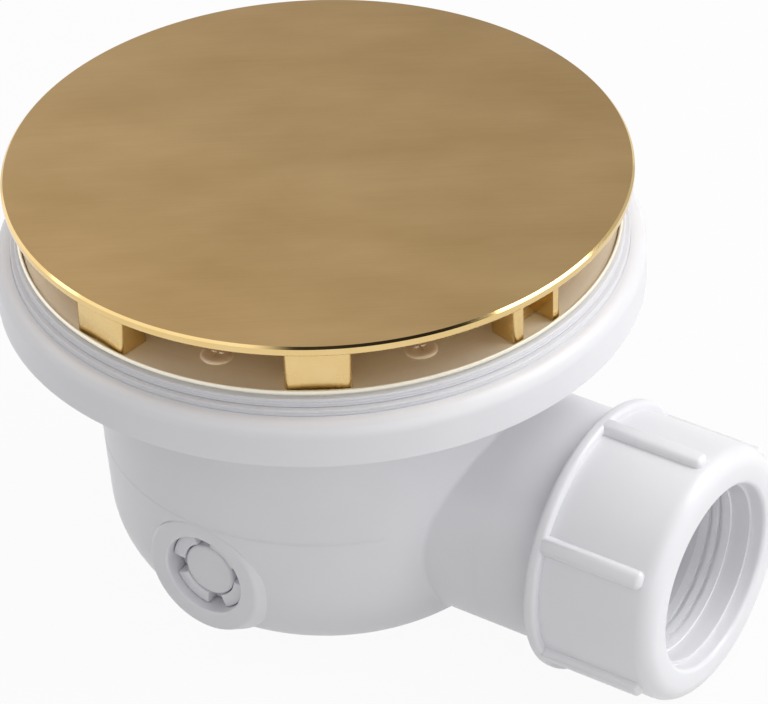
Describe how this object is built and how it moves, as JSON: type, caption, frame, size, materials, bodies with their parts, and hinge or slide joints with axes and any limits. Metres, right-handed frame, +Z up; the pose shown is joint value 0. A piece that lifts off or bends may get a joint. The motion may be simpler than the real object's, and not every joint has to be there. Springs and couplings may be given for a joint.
{
  "type": "shower trap",
  "caption": "Shower trap with a brushed round cover on legs over a steel dish, a white flanged bowl that holds the water seal, a cleaning plug and a side outlet with a ribbed compression nut.",
  "frame": {"origin": "centre of the flat base of the bowl", "axes": "+X along the outlet, away from the bowl, +Z up towards the cover, the cleaning plug towards -Y"},
  "size_m": [0.142, 0.1176, 0.0859],
  "materials": {
    "brushed_gold": "brushed on top, polished on the edge and legs",
    "stainless_dish": "satin polished",
    "stainless_screws": "plain",
    "pale_rubber": "matt",
    "white_plastic": "semi-gloss moulded",
    "white_nut": "semi-gloss moulded",
    "black_rubber": "matt"
  },
  "bodies": {
    "root": {"cover": "brushed_gold", "waste_flange": "stainless_dish", "flange_screws": "stainless_screws", "upper_gasket": "pale_rubber", "lower_gasket": "pale_rubber", "trap_body": "white_plastic", "outlet_socket": "white_plastic", "seal_cup": "white_plastic", "dip_tube": "white_plastic", "dip_tube_o_ring": "black_rubber", "outlet_nut": "white_nut", "slip_washer": "white_nut", "pipe_seal": "pale_rubber", "side_plug": "white_plastic", "plug_o_ring": "black_rubber"}
  },
  "joints": []
}
